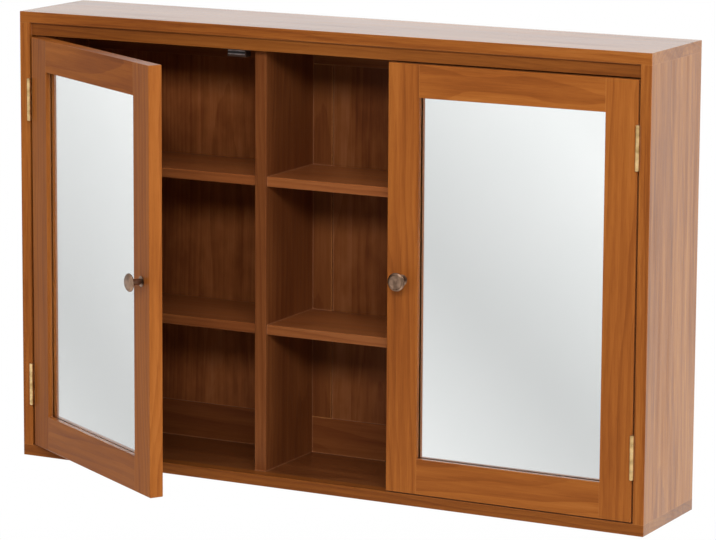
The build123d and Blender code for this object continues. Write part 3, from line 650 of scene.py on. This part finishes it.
SHOWN_RAYS = ("Is Camera Ray", "Is Glossy Ray", "Is Transmission Ray")
LAMP_TARGET = (0, -0.1, -0.28)
BACKDROP_FOLD_SHADE = 0.65
BACKDROP_FOLD_SLOPE = 6.6
BACKDROP_FOLD_SOFTNESS = 0.00004
LEFT_FOLD_ENDS = ((-96.2, -11.4), (-95.5, -12.4))
FRONT_FOLD_ENDS = ((-26.5, -10.3), (-24.2, -12.7))
LEFT_FOLD_LIMIT = -0.75
FRONT_FOLD_LIMIT = 0.3
AMBIENT_TURN = 0.3
AMBIENT_FRONT = 0.04
AMBIENT_BACK = 0.42
FLOOR_HEIGHT = -1.75
FLOOR_REACH = 4.5
FLOOR_SIDES = 96
FLOOR_TONE = 0.80
FLOOR_GLOW = 0.62
FLOOR_FADE_START = 0.45 * FLOOR_REACH
FLOOR_FADE_END = 0.95 * FLOOR_REACH


def toward(azimuth, elevation):
    """A direction. Azimuth is counted in degrees from the cabinet's front towards its right."""
    turn, rise = math.radians(azimuth), math.radians(elevation)
    return Vector((math.sin(turn) * math.cos(rise), -math.cos(turn) * math.cos(rise), math.sin(rise)))


def shown_directly(graph):
    """1 for rays that show the background itself, and 0 for rays that gather its light."""
    rays = graph.node("ShaderNodeLightPath").outputs
    total = graph.math("ADD", rays[SHOWN_RAYS[0]], rays[SHOWN_RAYS[1]])
    return graph.math("ADD", total, rays[SHOWN_RAYS[2]], clamp=True)


def backdrop_fold(graph, direction, ends):
    """The brightness beside a soft fold in the white backdrop, which runs through two directions."""
    across = toward(*ends[0]).cross(toward(*ends[1])).normalized()
    beside = graph.dot(direction, across)
    beside = graph.math("SQRT", graph.math("MULTIPLY_ADD", beside, beside, BACKDROP_FOLD_SOFTNESS))
    return graph.math("MULTIPLY_ADD", beside, BACKDROP_FOLD_SLOPE, BACKDROP_FOLD_SHADE)


def make_world():
    """A white studio with a folded backdrop in front, which the mirrors show. Rays that gather light see
    little of it, and so leave the light to the lamps."""
    world = bpy.data.worlds.new("studio")
    bpy.context.scene.world = world
    world.use_nodes = True
    g = Graph(world.node_tree)
    rays = g.node("ShaderNodeLightPath").outputs
    direction = g.node("ShaderNodeTexCoord").outputs["Generated"]
    parts = g.node("ShaderNodeSeparateXYZ", {0: direction}).outputs
    left_fold = backdrop_fold(g, direction, LEFT_FOLD_ENDS)
    front_fold = backdrop_fold(g, direction, FRONT_FOLD_ENDS)
    is_left = g.math("LESS_THAN", parts["X"], LEFT_FOLD_LIMIT)
    is_front = g.math("LESS_THAN", parts["Y"], FRONT_FOLD_LIMIT)
    fold = g.math("MULTIPLY_ADD", is_left, g.math("SUBTRACT", left_fold, front_fold), front_fold)
    fold = g.math("MINIMUM", g.math("MAXIMUM", fold, g.math("SUBTRACT", 1.0, is_front)), 1.0)
    shown = g.node("ShaderNodeCombineXYZ", {0: fold, 1: fold, 2: fold}).outputs[0]
    shown = g.mix(rays["Is Camera Ray"], shown, grey(1.0))
    ambient = g.span(parts["Y"], -AMBIENT_TURN, AMBIENT_TURN, AMBIENT_FRONT, AMBIENT_BACK)
    gathered = g.node("ShaderNodeCombineXYZ", {0: ambient, 1: ambient, 2: ambient}).outputs[0]
    colour = g.mix(shown_directly(g), gathered, shown)
    background = g.node("ShaderNodeBackground", {"Color": colour, "Strength": 1.0})
    g.node("ShaderNodeOutputWorld", {"Surface": background.outputs[0]})


def make_floor():
    """A pale round floor well below the hanging cabinet. It takes the shadow, and fades into the white."""
    shape = bmesh.new()
    bmesh.ops.create_circle(shape, cap_ends=True, segments=FLOOR_SIDES, radius=FLOOR_REACH)
    mesh = bpy.data.meshes.new("floor")
    shape.to_mesh(mesh)
    shape.free()
    floor = bpy.data.objects.new("floor", mesh)
    floor.location = (0, 0, FLOOR_HEIGHT)
    bpy.context.scene.collection.objects.link(floor)
    material, g = new_material("studio_floor")
    place = g.node("ShaderNodeTexCoord").outputs["Object"]
    diffuse = g.node("ShaderNodeBsdfDiffuse", {"Color": grey(FLOOR_TONE)})
    glow = g.node("ShaderNodeEmission", {"Color": grey(1.0), "Strength": FLOOR_GLOW})
    lit = g.node("ShaderNodeAddShader", {0: diffuse.outputs[0], 1: glow.outputs[0]})
    white = g.node("ShaderNodeEmission", {"Color": grey(1.0), "Strength": 1.0})
    faded = g.span(g.length(place), FLOOR_FADE_START, FLOOR_FADE_END)
    shown = g.node("ShaderNodeMixShader", {0: faded, 1: lit.outputs[0], 2: white.outputs[0]})
    surfaces = {0: shown_directly(g), 1: diffuse.outputs[0], 2: shown.outputs[0]}
    surface = g.node("ShaderNodeMixShader", surfaces)
    g.node("ShaderNodeOutputMaterial", {"Surface": surface.outputs[0]})
    mesh.materials.append(material)


def add_softbox(name, azimuth, elevation, distance, size, power, is_reflected=False):
    """A soft area lamp that faces the cabinet, with its power in watts. Its azimuth and elevation are in
    degrees. Only a lamp that is reflected shows in the lacquer, the metal and the mirrors."""
    lamp = bpy.data.lights.new(name, "AREA")
    lamp.shape = "RECTANGLE"
    lamp.size, lamp.size_y = size
    lamp.energy = power
    box = bpy.data.objects.new(name, lamp)
    box.location = Vector(LAMP_TARGET) + toward(azimuth, elevation) * distance
    box.rotation_euler = toward(azimuth, elevation).to_track_quat("Z", "Y").to_euler()
    box.visible_camera = False
    box.visible_glossy = is_reflected
    bpy.context.scene.collection.objects.link(box)


def make_lamps():
    """Two keys in front, one lamp at the right side, a fill from the left, and one above."""
    add_softbox("key_right", 36, 25, 5.0, (2.0, 0.9), 76)
    add_softbox("key_front", 13, 27, 5.0, (2.0, 0.9), 70)
    add_softbox("side", 88, 8, 3.2, (1.6, 1.8), 41)
    add_softbox("fill", -40, 10, 4.6, (2.0, 1.6), 30)
    add_softbox("top", 20, 65, 4.2, (2.4, 1.5), 44, is_reflected=True)


# Camera, fitted to the photograph

SENSOR_WIDTH = 36.0
FOCAL_PIXELS = 3591.69
FRAME_WIDTH = 716
CENTRE_RISE = 71.6
CAMERA_PLACE = (2.31112, -4.47094, 0.61282)
CAMERA_YAW, CAMERA_PITCH, CAMERA_ROLL = (math.radians(a) for a in (27.65, 9.33, 0.33))


def make_camera():
    """The camera, with its lens shifted as far as the photograph's framing needs."""
    yaw, pitch, roll = CAMERA_YAW, CAMERA_PITCH, CAMERA_ROLL
    side = Vector((math.cos(yaw), math.sin(yaw), 0))
    ahead = Vector((-math.sin(yaw) * math.cos(pitch), math.cos(yaw) * math.cos(pitch), -math.sin(pitch)))
    up = side.cross(ahead)
    right = math.cos(roll) * side + math.sin(roll) * up
    top = -math.sin(roll) * side + math.cos(roll) * up
    lens = bpy.data.cameras.new("camera")
    lens.sensor_width = SENSOR_WIDTH
    lens.lens = FOCAL_PIXELS / FRAME_WIDTH * SENSOR_WIDTH
    lens.shift_y = -CENTRE_RISE / FRAME_WIDTH
    camera = bpy.data.objects.new("camera", lens)
    axes = Matrix((right, top, -ahead)).transposed()
    camera.matrix_world = Matrix.Translation(CAMERA_PLACE) @ axes.to_4x4()
    bpy.context.scene.collection.objects.link(camera)
    bpy.context.scene.camera = camera


bpy.context.scene.view_settings.view_transform = "Standard"
dress_case()
dress_door("left", 0, LEFT_DOOR_TURN)
dress_door("right", 1, 0.0)
dress_fittings()
make_mirrors()
make_world()
make_floor()
make_lamps()
make_camera()
